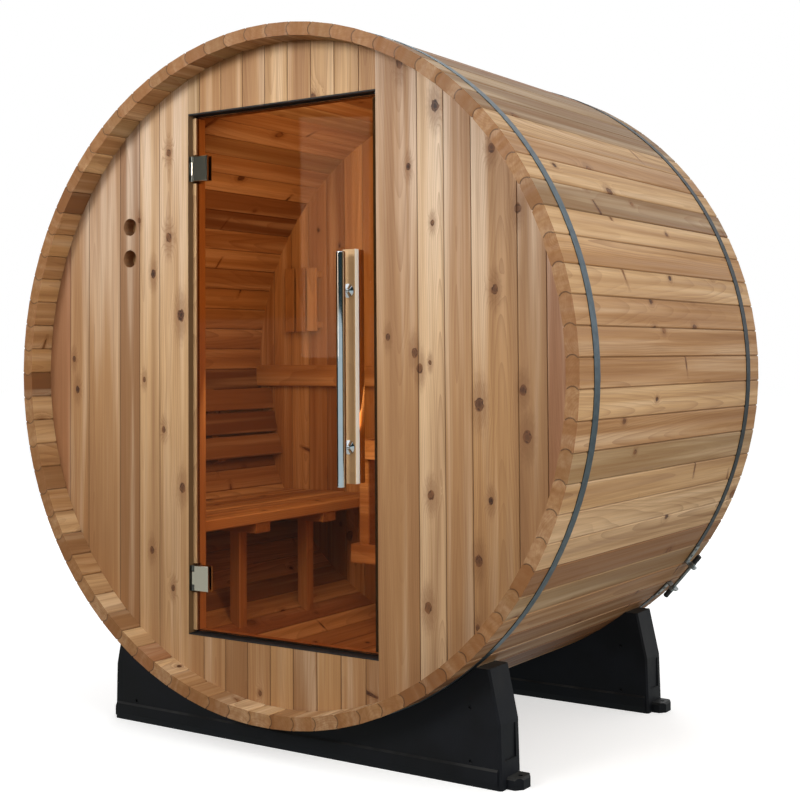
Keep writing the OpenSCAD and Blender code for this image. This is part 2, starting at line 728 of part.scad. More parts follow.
module bench_left_boards() color("SandyBrown") bench_boards();
module bench_left_bearers() color("Peru") bench_bearers();
module bench_left_legs() color("Sienna") bench_legs();
module bench_right_boards() color("SandyBrown") mirror([1, 0, 0]) bench_boards();
module bench_right_bearers() color("Peru") mirror([1, 0, 0]) bench_bearers();
module bench_right_legs() color("Sienna") mirror([1, 0, 0]) bench_legs();

// slats on the left side, each flat against the curve of the battens
module back_slats() {
    flat_r = sqrt(pow(back_r - fit, 2) - pow(back_slat_w / 2, 2)) - back_slat_t / 2;
    on_axis() for (k = [0 : back_n - 1])
        rotate([0, 0, 180 + back_first + k * back_step]) translate([flat_r, 0, 0])
            linear_extrude(height = 2 * (inside_y - seat_end), center = true)
                chamfered(back_slat_t, back_slat_w, edge_c);
}

module back_battens() on_axis() for (s = [-1, 1])
    translate([0, 0, s * frame_y]) rotate([0, 0, 180 + back_first - back_step / 2])
        rotate_extrude(angle = back_n * back_step, $fn = 180)
            translate([back_r, -20]) square([batten_t - fit, 40]);

module back_rest_left() color("SandyBrown") back_slats();
module back_rest_right() color("SandyBrown") mirror([1, 0, 0]) back_slats();
module back_rest_battens() color("Peru") { back_battens(); mirror([1, 0, 0]) back_battens(); }

// ---------- inside fittings ----------

module vent_cover() color("Peru")
    translate([-vent_x, -inside_y + 19 / 2, axis_h + vent_rise])
        timber_z(side_w(vent_board) + 20, 19, vent_pitch + vent_d + 40);

module rear_brace() color("Peru") in_lining()
    translate([0, inside_y - brace_t / 2, axis_h - brace_h / 3])
        timber_x(2 * inner_r, brace_t, brace_h);

module lamp_cover() color("Peru") translate([-lamp_x, inside_y, axis_h + lamp_rise]) {
    pitch = lamp_slat_w + 9;
    for (s = [-1, 1]) translate([0, -12.5, s * (lamp_h / 2 - 22)])
        cube([3 * pitch - 9, 25, 22], center = true);
    for (i = [-1 : 1]) translate([i * pitch, -25 - 6 + 0.02, 0]) timber_z(lamp_slat_w, 12, lamp_h);
}

// posts and rails of the guard on the rear wall
module guard_rail() color("Peru") translate([0, inside_y, axis_h - inner_r + guard_top - guard_h]) {
    post = 38;
    rail = 58;
    for (s = [-1, 1]) {
        translate([s * (guard_w - post) / 2, -guard_out + post / 2 + 19, guard_h / 2])
            timber_z(post, post, guard_h);
        translate([s * (guard_w - post) / 2, -post / 2, guard_h / 2])
            timber_z(post, post, guard_h);
        for (z = [rail / 2, guard_h - rail / 2]) translate([s * (guard_w / 2 + 19 / 2), -guard_out / 2, z])
            cube([19, guard_out, rail], center = true);
    }
    for (z = [rail / 2, guard_h - rail / 2]) translate([0, -guard_out + 19 / 2, z])
        cube([guard_w, 19, rail], center = true);
}

// ---------- assembly ----------

cradle_front();
cradle_rear();
staves_floor();
staves_right_low();
staves_right();
staves_right_high();
staves_roof();
staves_left_high();
staves_left();
staves_left_low();
front_wall_left();
front_wall_right();
front_wall_over_door();
front_wall_under_door();
rear_wall_left();
rear_wall_middle();
rear_wall_right();
door_stop();
door_seals();
door_glass();
hinge_leaves();
hinge_pins();
hinge_clamps();
handle_backing();
handle_bar();
handle_posts();
inside_pull();
band_front();
band_rear();
tensioner_front();
tensioner_rear();
tensioner_caps();
bench_left_boards();
bench_left_bearers();
bench_left_legs();
bench_right_boards();
bench_right_bearers();
bench_right_legs();
back_rest_left();
back_rest_right();
back_rest_battens();
vent_cover();
rear_brace();
lamp_cover();
guard_rail();
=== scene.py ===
# Barrel sauna cabin: cedar barrel on two moulded cradles, with a frameless bronze glass door.
# Metres, +Z up, the door faces -Y, the barrel's axis lies along Y at a height of 1 m.
import math
from functools import partialmethod

import bmesh
import bpy
from mathutils import Matrix, Vector


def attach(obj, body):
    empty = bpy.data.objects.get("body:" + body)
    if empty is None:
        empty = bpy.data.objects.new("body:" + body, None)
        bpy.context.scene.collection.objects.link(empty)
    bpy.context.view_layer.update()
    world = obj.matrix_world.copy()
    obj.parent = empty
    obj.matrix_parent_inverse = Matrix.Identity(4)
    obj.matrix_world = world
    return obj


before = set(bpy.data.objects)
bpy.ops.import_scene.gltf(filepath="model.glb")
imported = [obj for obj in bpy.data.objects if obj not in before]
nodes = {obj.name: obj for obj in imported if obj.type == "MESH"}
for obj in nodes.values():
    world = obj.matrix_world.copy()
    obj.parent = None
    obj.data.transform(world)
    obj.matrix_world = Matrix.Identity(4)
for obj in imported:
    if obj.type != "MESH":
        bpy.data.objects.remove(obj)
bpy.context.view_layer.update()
bpy.ops.object.select_all(action="DESELECT")


# ---- Camera and studio ------------------------------------------------------
# The view is from the front right at chest height, through a 63 mm lens. The cabin stands on
# a pale floor in a white studio, lit by soft boxes from high on both sides.
EYE = (2.319, -3.403, 1.043)
LENS_MM, SENSOR_MM = 62.685, 36.0
TURN, LIFT, ROLL = math.radians(33.80), math.radians(2.0), math.radians(-0.39)
RISE = -0.11625  # how far the lens is shifted, as a share of the frame

camera_data = bpy.data.cameras.new("camera")
camera_data.lens, camera_data.sensor_width = LENS_MM, SENSOR_MM
camera_data.shift_y = RISE
camera = bpy.data.objects.new("camera", camera_data)
bpy.context.scene.collection.objects.link(camera)
camera.matrix_world = (Matrix.Translation(EYE)
                       @ Matrix.Rotation(TURN, 4, "Z")
                       @ Matrix.Rotation(math.pi / 2 + LIFT, 4, "X")
                       @ Matrix.Rotation(ROLL, 4, "Z"))
bpy.context.scene.camera = camera
bpy.context.scene.view_settings.view_transform = "Standard"


def tone(red, green, blue):
    """A paint-chart colour, 0 to 255 a channel, as the linear colour that shaders use."""
    def linear(c):
        c /= 255
        return c / 12.92 if c <= 0.04045 else ((c + 0.055) / 1.055) ** 2.4
    return (linear(red), linear(green), linear(blue), 1.0)


X, Y, Z = 0, 1, 2  # the axes' places in what xyz and facing give


class Finish:
    """The recipe of one finish: it lays down shader nodes and joins them up."""
    SHARE, FIRST, SECOND, BLENDED = 0, 6, 7, 2  # the sockets of a Mix node that blends colours

    def __init__(self, tree):
        self.tree = tree
        self.tree.nodes.clear()

    def add(self, kind, inputs=None, **settings):
        made = self.tree.nodes.new(kind)
        for key, value in settings.items():
            setattr(made, key, value)
        for key, value in (inputs or {}).items():
            self.join(value, made.inputs[key])
        return made

    def join(self, value, socket):
        if isinstance(value, bpy.types.NodeSocket):
            self.tree.links.new(value, socket)
        else:
            socket.default_value = value

    def reckon(self, how, *values):
        made = self.add("ShaderNodeMath", operation=how)
        for value, socket in zip(values, made.inputs):
            self.join(value, socket)
        return made.outputs[0]

    times_plus = partialmethod(reckon, "MULTIPLY_ADD")
    times = partialmethod(reckon, "MULTIPLY")
    plus = partialmethod(reckon, "ADD")
    less = partialmethod(reckon, "SUBTRACT")
    over = partialmethod(reckon, "DIVIDE")
    least = partialmethod(reckon, "MINIMUM")
    most = partialmethod(reckon, "MAXIMUM")
    root = partialmethod(reckon, "SQRT")
    size = partialmethod(reckon, "ABSOLUTE")
    power = partialmethod(reckon, "POWER")
    whole = partialmethod(reckon, "FLOOR")
    above = partialmethod(reckon, "GREATER_THAN")
    below = partialmethod(reckon, "LESS_THAN")
    wrap = partialmethod(reckon, "FLOORED_MODULO")
    part = partialmethod(reckon, "FRACT")
    exponent = partialmethod(reckon, "EXPONENT")
    bearing = partialmethod(reckon, "ARCTAN2")

    def distance(self, off, up):
        """How far a point is from another, given how far off to the side and how far up."""
        return self.root(self.plus(self.times(off, off), self.times(up, up)))

    def between(self, value, low, high, out_low=0.0, out_high=1.0):
        """value from low to high, eased into out_low to out_high."""
        return self.add("ShaderNodeMapRange", {"Value": value, "From Min": low, "From Max": high,
                                               "To Min": out_low, "To Max": out_high},
                        interpolation_type="SMOOTHSTEP").outputs[0]

    def vector(self, x, y, z=0.0):
        return self.add("ShaderNodeCombineXYZ", {"X": x, "Y": y, "Z": z}).outputs[0]

    def xyz(self, vector):
        return self.add("ShaderNodeSeparateXYZ", {"Vector": vector}).outputs

    def channels(self, colour):
        return self.add("ShaderNodeSeparateColor", {"Color": colour}).outputs

    def where(self):
        """Where a point lies on the cabin."""
        return self.add("ShaderNodeTexCoord").outputs["Object"]

    def facing(self):
        """How far a face looks to the side, to the rear and up."""
        return self.xyz(self.add("ShaderNodeTexCoord").outputs["Normal"])

    def noise(self, where, scale=1.0, detail=2.0):
        """Noise with about scale waves a metre."""
        mottle = self.add("ShaderNodeTexNoise", {"Vector": where, "Scale": scale, "Detail": detail})
        return mottle.outputs[0]

    def blend(self, share, first, second):
        made = self.add("ShaderNodeMix", data_type="RGBA")
        self.join(share, made.inputs[self.SHARE])
        self.join(first, made.inputs[self.FIRST])
        self.join(second, made.inputs[self.SECOND])
        return made.outputs[self.BLENDED]

    def seen(self):
        """1 for what the eye, a mirror or a pane shows, and 0 for the light that falls on the cabin."""
        rays = self.add("ShaderNodeLightPath").outputs
        return self.most(rays["Is Camera Ray"],
                         self.most(rays["Is Glossy Ray"], rays["Is Transmission Ray"]))

    def surface(self, shader, output="ShaderNodeOutputMaterial"):
        self.add(output, {"Surface": shader.outputs[0]})


def start(name):
    """An empty material and its recipe."""
    made = bpy.data.materials.new(name)
    made.use_nodes = True
    return made, Finish(made.node_tree)


# the studio's white walls, seen as white but lighting the cabin more from above
WHITE, HORIZON, ZENITH = (1, 1, 1, 1), (0.44, 0.42, 0.39, 1), (0.70, 0.72, 0.74, 1)
world = bpy.data.worlds.new("studio")
bpy.context.scene.world = world
world.use_nodes = True
room = Finish(world.node_tree)
height = room.xyz(room.add("ShaderNodeTexCoord").outputs["Generated"])[Z]
sky = room.blend(room.between(height, 0.0, 0.9), HORIZON, ZENITH)
air = room.add("ShaderNodeBackground", {"Color": room.blend(room.seen(), sky, WHITE), "Strength": 1.0})
room.surface(air, "ShaderNodeOutputWorld")

# the floor, seen as pale paper, though it throws back no more light than a warm brown one and
# shows in polished metal as a grey one
FLOOR_SPAN = 60
FLOOR_SEEN, FLOOR_BOUNCE = (0.8, 0.8, 0.8, 1), (0.17, 0.12, 0.08, 1)
FLOOR_GLOW, FLOOR_MIRRORED, UNLIT = (0.5, 0.5, 0.5, 1), (0.34, 0.40, 0.41, 1), (0, 0, 0, 1)
bpy.ops.mesh.primitive_plane_add(size=FLOOR_SPAN)
floor = bpy.context.object
floor.name = "studio_floor"
painted, paint = start("studio_floor")
floor.data.materials.append(painted)
rays = paint.add("ShaderNodeLightPath").outputs
seen = paint.most(rays["Is Camera Ray"], rays["Is Transmission Ray"])
matt = paint.add("ShaderNodeBsdfDiffuse", {"Color": paint.blend(seen, FLOOR_BOUNCE, FLOOR_SEEN)})
mirrored = paint.blend(rays["Is Glossy Ray"], UNLIT, FLOOR_MIRRORED)
glow = paint.add("ShaderNodeEmission", {"Color": paint.blend(seen, mirrored, FLOOR_GLOW)})
paint.surface(paint.add("ShaderNodeAddShader", {0: matt.outputs[0], 1: glow.outputs[0]}))


def soft_lamp(name, place, aim, size, watts, tint=(1, 1, 1), spread=180):
    """A soft box of size width by height that stands at place and faces aim. A grid on it may
    narrow the beam to spread degrees."""
    data = bpy.data.lights.new(name, "AREA")
    data.shape = "RECTANGLE"
    data.size, data.size_y = size
    data.energy, data.color, data.spread = watts, tint, math.radians(spread)
    lamp = bpy.data.objects.new(name, data)
    bpy.context.scene.collection.objects.link(lamp)
    lamp.location = place
    lamp.rotation_mode = "QUATERNION"
    lamp.rotation_quaternion = (Vector(aim) - Vector(place)).to_track_quat("-Z", "Y")
    return lamp


soft_lamp("key_lamp", place=(-1.2, -5.4, 3.0), aim=(-0.1, -0.5, 2.05), size=(2.4, 1.8),
          watts=28, tint=(1.0, 0.99, 0.97), spread=60)
soft_lamp("strip_lamp", place=(-1.98, -3.4, 1.66), aim=(0.1, -0.5, 1.5), size=(0.36, 1.25),
          watts=5.5, tint=(1.0, 0.78, 0.58))
side_lamp = soft_lamp("side_lamp", place=(4.8, -1.9, 2.0), aim=(0.3, 0, 0.95), size=(2.2, 2.2),
                      watts=128, tint=(1.0, 0.98, 0.92))
indoor_lamp = soft_lamp("indoor_lamp", place=(0.0, -0.38, 1.35), aim=(0.0, 0.5, 1.15),
                        size=(0.5, 1.0), watts=7.5, tint=(1.0, 0.93, 0.84))
back_lamp = soft_lamp("back_lamp", place=(-3.0, 4.8, 2.4), aim=(0, 0.4, 1.0), size=(2.2, 2.2), watts=75)
side_lamp.visible_glossy = back_lamp.visible_glossy = False
indoor_lamp.visible_camera = indoor_lamp.visible_glossy = indoor_lamp.visible_transmission = False


def hang(name, low, high, places, chip):
    """Cloths hung side by side through places (x, y), from height low to height high. They only
    show in the cabin's polished metal."""
    dyed, dye = start(name)
    dye.surface(dye.add("ShaderNodeEmission", {"Color": tone(*chip), "Strength": 1.0}))
    for i, (first, second) in enumerate(zip(places, places[1:])):
        corners = [(*first, low), (*second, low), (*second, high), (*first, high)]
        mesh = bpy.data.meshes.new(f"{name}_{i}")
        mesh.from_pydata(corners, [], [(0, 1, 2, 3)])
        mesh.materials.append(dyed)
        cloth = bpy.data.objects.new(mesh.name, mesh)
        bpy.context.scene.collection.objects.link(cloth)
        for use in ("camera", "diffuse", "transmission", "shadow", "volume_scatter"):
            setattr(cloth, "visible_" + use, False)


HEM_H, TOP_H = 1.34, 4.5
LEFT_POST, MIDDLE_POST, RIGHT_POST = (-6.0, -6.0), (3.4, -6.2), (9.5, -5.0)
hang("front_flag", HEM_H, TOP_H, [LEFT_POST, MIDDLE_POST, RIGHT_POST], (37, 51, 54))
hang("low_flag", 0.0, HEM_H, [LEFT_POST, MIDDLE_POST, RIGHT_POST], (178, 192, 197))
hang("left_flag", 0.0, TOP_H, [(-6.5, -0.2), LEFT_POST], (10, 13, 14))
hang("right_flag", 0.0, TOP_H, [RIGHT_POST, (9.5, 2.0)], (72, 64, 46))
bpy.ops.object.select_all(action="DESELECT")


# ---- Cradles ----------------------------------------------------------------
# Two hollow-moulded black polymer cradles with a flanged foot and a bolt ear at each end.
# The skin is finely pebbled and nearly matt, and dusty where it faces up.
POLYMER_DEEP, POLYMER_PALE, DUST = (15, 16, 19), (24, 26, 31), (66, 66, 64)
PEBBLES_A_METRE, CLOUDS_A_METRE, PEBBLE_H = 420.0, 9.0, 0.0004


def dress(finish, *names):
    """Gives nodes their finish in place of the plain one."""
    for name in names:
        nodes[name].data.materials.clear()
        nodes[name].data.materials.append(finish)


def moulded_black():
    made, skin = start("moulded_black")
    where = skin.where()
    pebble = skin.noise(where, PEBBLES_A_METRE)
    cloud = skin.noise(where, CLOUDS_A_METRE, detail=4.0)
    colour = skin.blend(skin.between(cloud, 0.3, 0.75), tone(*POLYMER_DEEP), tone(*POLYMER_PALE))
    upward = skin.between(skin.facing()[Z], 0.3, 0.95)
    dusty = skin.times(upward, skin.between(cloud, 0.35, 0.7, 0.25, 0.8))
    colour = skin.blend(dusty, colour, tone(*DUST))
    bump = skin.add("ShaderNodeBump", {"Strength": 0.25, "Distance": PEBBLE_H, "Height": pebble})
    skin.surface(skin.add("ShaderNodeBsdfPrincipled", {
        "Base Color": colour, "Normal": bump.outputs[0], "Specular IOR Level": 0.16,
        "Roughness": skin.between(cloud, 0.3, 0.7, 0.46, 0.62)}))
    return made


dress(moulded_black(), "cradle_front", "cradle_rear")


# ---- Staves -----------------------------------------------------------------
# 79 western red cedar staves, 73 mm wide and 35 mm thick, planed with a bead on one edge
# and a cove on the other, so that they roll round into a barrel. Left unfinished.
AXIS_H, BARREL_R, STAVE_T, STAVES = 1.0, 0.9145, 0.035, 79
BEAD_R, BEAD_RISE = 0.016, 0.0075
STAVE_W = math.tau * BARREL_R / STAVES
BAND_Y, BAND_W = 0.496, 0.030

# the tones of whole boards, and those of what marks them, a painted sheen and a painted shade among
# them
BOARDS = {"cream": (220, 186, 144), "straw": (204, 166, 120), "honey": (190, 147, 98),
          "tan": (178, 136, 92), "olive": (162, 132, 92), "rose": (166, 116, 80),
          "brown": (150, 110, 72), "umber": (114, 76, 48), "moss": (142, 114, 80)}
MARKS = {"soft band": (138, 96, 62), "pale streak": (226, 199, 166), "dark streak": (126, 86, 54),
         "painted sheen": (228, 214, 200), "painted low shade": (140, 96, 54), "late wood": (128, 84, 50),
         "fibre": (112, 74, 46), "halo": (122, 80, 46), "pale knot": (146, 98, 56),
         "dark knot": (98, 56, 29), "pale rim": (100, 60, 32), "dark rim": (46, 26, 14),
         "heart": (46, 26, 15), "end grain": (132, 84, 40), "grime": (72, 44, 24),
         "end joint": (58, 36, 20)}

# a board is a slice off a log: how far its pith may lie to the side, how deep it lies at the least
# and how much deeper at the most, the log's taper, and how far rings wander and bend round a knot
PITH_SPREAD, PITH_NEAR, PITH_DEEPER = 0.10, 0.01, 0.07
TAPER, RING_WANDER, RING_BEND = 0.09, 0.019, 0.017
LOT_STEP = 7.31  # how far on along the grain's pattern each board is cut
PLANED_ROUGHNESS, PLANED_RELIEF = 0.46, 0.0006

KNOT_STEP, KNOT_ROW = 0.30, 0.085  # along and across a board, one likely place in each
KNOT_R, KNOT_R_MORE = 0.005, 0.008
KNOT_SQUEEZE, HALO_SQUEEZE = 0.72, 0.34  # a knot and its halo are this much shorter along the board
SPIKE_FROM = 0.75  # a knot whose draw is higher is a spike knot
SPIKE_THINNER, SPIKE_LONGER, SPIKE_LEAN = 1.1, 0.72, 0.3
RAG, OUT_OF_REACH = 1.3, 99.0  # how ragged a knot's outline is, and far from any knot, in radii


def stain(wood, colour, mark, share):
    """Lays one of the marks over the wood."""
    return wood.blend(share, colour, tone(*MARKS[mark]))


def board_tones(wood, number, boards):
    """The boards' own tones, in order of number."""
    boards = boards.split()
    place = wood.over(wood.plus(number, 0.5), float(len(boards)))
    pick = wood.add("ShaderNodeValToRGB", {"Fac": place})
    stops = pick.color_ramp.elements
    pick.color_ramp.interpolation = "CONSTANT"
    while len(stops) < len(boards):
        stops.new(0.5)
    for i, board in enumerate(boards):
        stops[i].position = i / len(boards)
        stops[i].color = tone(*BOARDS[board])
    return pick.outputs[0]


def reach(wood, cross_off, long_off, squeeze, radius):
    """How many radii away a knot's middle is."""
    long_off = wood.times(long_off, squeeze)
    reach_2 = wood.times_plus(long_off, long_off, wood.times(cross_off, cross_off))
    return wood.over(wood.root(reach_2), radius)


def scattered_knots(wood, run, across, number, share):
    """How many radii away the nearest of the unplanned knots is. One in four is a spike knot,
    sawn along its branch, that lies across the board."""
    cell = wood.vector(wood.over(run, KNOT_STEP),
                       wood.times_plus(number, 3.0, wood.over(across, KNOT_ROW)))
    spots = wood.add("ShaderNodeTexVoronoi", {"Vector": cell, "Scale": 1.0, "Randomness": 0.8},
                     voronoi_dimensions="2D").outputs
    off = wood.add("ShaderNodeVectorMath", {0: cell, 1: spots["Position"]}, operation="SUBTRACT")
    off_long, off_cross, _ = wood.xyz(off.outputs[0])
    bareness, girth, kind = wood.channels(spots["Color"])
    spike = wood.above(kind, SPIKE_FROM)
    lean = wood.times(wood.times(spike, SPIKE_LEAN), wood.times(off_cross, KNOT_ROW))
    long_off = wood.times(wood.times_plus(off_long, KNOT_STEP, lean),
                          wood.times_plus(spike, SPIKE_THINNER, KNOT_SQUEEZE))
    cross_off = wood.times(wood.times(off_cross, KNOT_ROW),
                           wood.times_plus(spike, -SPIKE_LONGER, 1.0))
    radius = wood.times_plus(wood.power(girth, 2.0), KNOT_R_MORE, KNOT_R)
    bare = wood.times(wood.above(bareness, share), 40.0)
    return wood.plus(reach(wood, cross_off, long_off, 1.0, radius), bare)


def nearest_knot(wood, spot, across, run, number, ragged, share, placed):
    """How many radii away the nearest knot and the nearest halo are, along ragged outlines."""
    far = scattered_knots(wood, run, across, number, share) if share else OUT_OF_REACH
    halo = far
    for side, up, radius in placed:
        off = [wood.less(spot[X], side), wood.less(spot[Z], up)]
        far = wood.least(far, reach(wood, *off, KNOT_SQUEEZE, radius))
        halo = wood.least(halo, reach(wood, *off, HALO_SQUEEZE, radius))
    return [wood.times_plus(ragged, RAG, wood.less(away, RAG / 2)) for away in (far, halo)]


def cedar(name, lay, boards, seed=0.0, knots=0.35, placed=(), ring_gap=0.0052, ring_depth=0.42,
          streaks=0.5, pale=0.45, grime=0.5, ringed=1.0, painted_sheen_and_shade=False, edges=None):
    """Planed cedar. lay says where a point lies on its board: across, along and into it, the board's
    number, how near a joint is, and how much the face is end grain. boards are their tones in order
    of number, knots the share of likely places that hold one, and placed the knots that are known:
    (side, up, radius). The ringed ones are paler, down to this darkness. Front wall boards can be
    given a painted sheen in whitish streaks towards the top and painted shade, browner, towards the
    bottom. edges is the tone of the first board's faces that look sideways: darker on the doorway's
    jamb, and a painted highlight on the handle backing's sides."""
    made, wood = start(name)
    where, facing = wood.where(), wood.facing()
    spot = wood.xyz(where)
    across, along, deep, number, joint, end = lay(wood, spot, facing)
    board = wood.plus(number, seed)
    dice = wood.add("ShaderNodeTexWhiteNoise", {"W": board}, noise_dimensions="1D")
    pith_deep, pith_aside, taper = wood.channels(dice.outputs["Color"])
    lot = wood.times(board, LOT_STEP)
    run = wood.plus(along, lot)

    def figure(across_a_metre, along_a_metre, third=lot, detail=2.0):
        """Noise with so many waves a metre across the board and along it."""
        wide, long = wood.times(across, across_a_metre), wood.times(run, along_a_metre)
        return wood.noise(wood.vector(wide, long, third), detail=detail)

    # which knots are black, and how far away they are
    dark = wood.noise(wood.vector(wood.times(run, 3.0), number))
    dark = wood.between(dark, 0.46, 0.58, ringed, 1.0)
    ragged = wood.noise(wood.vector(wood.times(run, 75.0), wood.times(across, 105.0)))
    far, halo = nearest_knot(wood, spot, across, run, number, ragged, knots, placed)

    # yearly rings run out in arches, because the log tapers
    off_pith = wood.less(across, wood.times_plus(pith_aside, PITH_SPREAD, -PITH_SPREAD / 2))
    up_pith = wood.plus(deep, wood.times_plus(pith_deep, PITH_DEEPER, PITH_NEAR))
    log_r = wood.distance(off_pith, up_pith)
    log_r = wood.times_plus(along, wood.times_plus(taper, TAPER, -TAPER / 2), log_r)
    log_r = wood.times_plus(figure(9.0, 2.1), RING_WANDER, log_r)
    swirl = wood.exponent(wood.times(wood.times(far, far), -0.14))
    log_r = wood.times_plus(swirl, RING_BEND, log_r)
    good_years = wood.noise(wood.vector(wood.times(log_r, 48.0), lot), detail=1.0)
    year = wood.part(wood.times_plus(good_years, 2.6, wood.over(log_r, ring_gap)))
    dry_years = wood.noise(wood.vector(wood.times(log_r, 24.0), lot, 3.0))
    late = wood.times(wood.power(year, 2.6), wood.between(dry_years, 0.3, 0.68, 0.2, 1.0))

    # the board's own tone, then soft bands, streaks, a painted sheen above and painted shade below,
    # rings and fibre
    colour = board_tones(wood, number, boards)
    band = figure(26.0, 0.8, detail=2.5)
    streak = figure(85.0, 1.1)
    fibre = figure(600.0, 8.0, wood.times(deep, 600.0), detail=1.0)
    colour = stain(wood, colour, "soft band", wood.times(wood.between(band, 0.42, 0.72), streaks))
    colour = stain(wood, colour, "pale streak", wood.times(wood.between(band, 0.52, 0.28), pale))
    colour = stain(wood, colour, "dark streak", wood.between(streak, 0.45, 0.75, 0.0, streaks * 0.6))
    # painted light: whitish streaks of painted sheen that grow towards the top, and painted shade that
    # browns the wood towards the bottom
    if painted_sheen_and_shade:
        sheen_share = wood.between(spot[Z], 0.9, 1.75)
        sheen_share = wood.times(sheen_share, wood.between(band, 0.62, 0.40, 0.08, 0.42))
        colour = stain(wood, colour, "painted sheen", sheen_share)
        colour = stain(wood, colour, "painted low shade", wood.between(spot[Z], 1.1, 0.45, 0.0, 0.3))
    colour = stain(wood, colour, "late wood", wood.times(late, ring_depth))
    colour = stain(wood, colour, "fibre", wood.between(fibre, 0.35, 0.8, 0.0, 0.2))

    # a knot has a long soft halo, a brown body and a broken black rim, and is dark or pale at heart
    colour = stain(wood, colour, "halo", wood.between(halo, 0.9, 3.2, 0.5, 0.0))
    knot = wood.blend(dark, tone(*MARKS["pale knot"]), tone(*MARKS["dark knot"]))
    colour = wood.blend(wood.between(far, 0.95, 1.3, 0.9, 0.0), colour, knot)
    rim = wood.times(wood.between(far, 0.5, 0.9), wood.between(far, 1.0, 1.25, 1.0, 0.0))
    rim = wood.times(rim, wood.between(ragged, 0.40, 0.58, 0.0, 0.9))
    bark = wood.blend(dark, tone(*MARKS["pale rim"]), tone(*MARKS["dark rim"]))
    colour = wood.blend(rim, colour, bark)
    heart = wood.times(wood.power(dark, 2.0), wood.between(far, 0.2, 0.9, 0.9, 0.0))
    colour = stain(wood, colour, "heart", heart)

    # end grain is blotched and darker, grime lies in the joints, and beside the bands the staves'
    # joints carry painted shadow
    blotch = wood.between(wood.noise(where, 70.0, detail=3.0), 0.3, 0.7, 0.5, 0.76)
    colour = stain(wood, colour, "end grain", wood.times(wood.between(end, 0.6, 0.8), blotch))
    if edges:
        beside = wood.between(wood.size(facing[X]), 0.7, 0.9, 0.0, 0.9)
        beside = wood.times(beside, wood.below(number, 0.5))
        colour = wood.blend(beside, colour, tone(*edges))
    colour = stain(wood, colour, "grime", wood.between(joint, 0.0024, 0.0004, 0.0, grime))
    opened = wood.times(wood.above(end, 0.7), wood.between(joint, 0.0022, 0.0006, 0.0, 0.55))
    colour = stain(wood, colour, "end joint", opened)

    relief = wood.times_plus(fibre, 0.7, wood.times(late, 0.5))
    bump = wood.add("ShaderNodeBump", {"Strength": 0.3, "Distance": PLANED_RELIEF, "Height": relief})
    wood.surface(wood.add("ShaderNodeBsdfPrincipled", {
        "Base Color": colour, "Normal": bump.outputs[0], "Specular IOR Level": 0.32,
        "Roughness": wood.between(streak, 0.3, 0.7, PLANED_ROUGHNESS, PLANED_ROUGHNESS + 0.2)}))
    return made


def round_barrel(first):
    """A stave's own directions: round the barrel, along its axis, and in from its face. Staves are
    counted upwards from the right, and first is the lowest number in the sector."""
    def lay(wood, spot, facing):
        up = wood.less(spot[Z], AXIS_H)
        out = wood.distance(up, spot[X])
        turn = wood.times_plus(wood.bearing(up, spot[X]), STAVES / math.tau, -first)
        turn = wood.wrap(wood.plus(turn, 0.5), float(STAVES))
        number = wood.whole(turn)
        into = wood.times(wood.less(turn, number), STAVE_W)
        # on the ends of the staves, each one's bead stands into the next
        off_bead = wood.less(into, BEAD_RISE - BEAD_R)
        up_bead = wood.less(out, BARREL_R - STAVE_T / 2)
        from_bead = wood.less(wood.distance(off_bead, up_bead), BEAD_R)
        number = wood.less(number, wood.below(from_bead, 0.0))
        across = wood.times(wood.less(wood.less(turn, number), 0.5), STAVE_W)
        bead_reach = math.sqrt(BEAD_R ** 2 - (BEAD_R - BEAD_RISE) ** 2)
        beside_bead = wood.below(wood.size(up_bead), bead_reach)
        from_edge = wood.plus(wood.least(into, wood.less(STAVE_W, into)), beside_bead)
        joint = wood.least(from_edge, wood.size(from_bead))
        # a joint is painted darker where it meets a band's edge: painted shadow of the band in the
        # groove
        off_band = wood.size(wood.less(wood.size(spot[Y]), BAND_Y))
        from_band = wood.size(wood.less(off_band, BAND_W / 2))
        joint = wood.less(joint, wood.between(from_band, 0.003, 0.006, 0.0024, 0.0))
        return across, spot[Y], wood.less(BARREL_R, out), number, joint, wood.size(facing[Y])
    return lay


# each sector's lowest stave, and the tones of its staves as they rise anticlockwise
SECTORS = {
    "staves_right": (-4, "straw olive tan straw tan tan tan straw honey"),
    "staves_right_high": (5, "straw moss straw tan straw moss moss olive moss brown"),
    "staves_roof": (15, "tan tan olive tan brown tan tan olive brown tan"),
    "staves_left_high": (25, "olive tan tan olive tan straw brown umber tan honey"),
    "staves_left": (35, "tan honey tan tan honey umber straw straw tan brown"),
    "staves_left_low": (45, "tan straw brown tan straw cream brown straw rose straw"),
    "staves_floor": (55, "tan tan brown cream straw tan tan cream tan straw"),
    # the low staves on the right are mostly umber and brown: painted shade
    "staves_right_low": (65, "tan umber umber brown brown tan olive brown cream cream")}
for name, (first, boards) in SECTORS.items():
    dress(cedar(name, round_barrel(first), boards, seed=float(first), ring_gap=0.0062,
                ring_depth=0.5, ringed=0.25, grime=0.4), name)


# ---- Round walls ------------------------------------------------------------
# Tongued and grooved cedar boards, narrow ones of 77.5 mm and wide ones of 127 mm, standing
# upright and cut to a circle that is let into the croze of the staves.
NARROW, WIDE, WALL_FACE = 0.0775, 0.127, 0.510
BESIDE_DOOR = (WIDE, NARROW, NARROW, WIDE, NARROW, WIDE)
BESIDE_START = 0.3085
JAMB = (88, 66, 42)


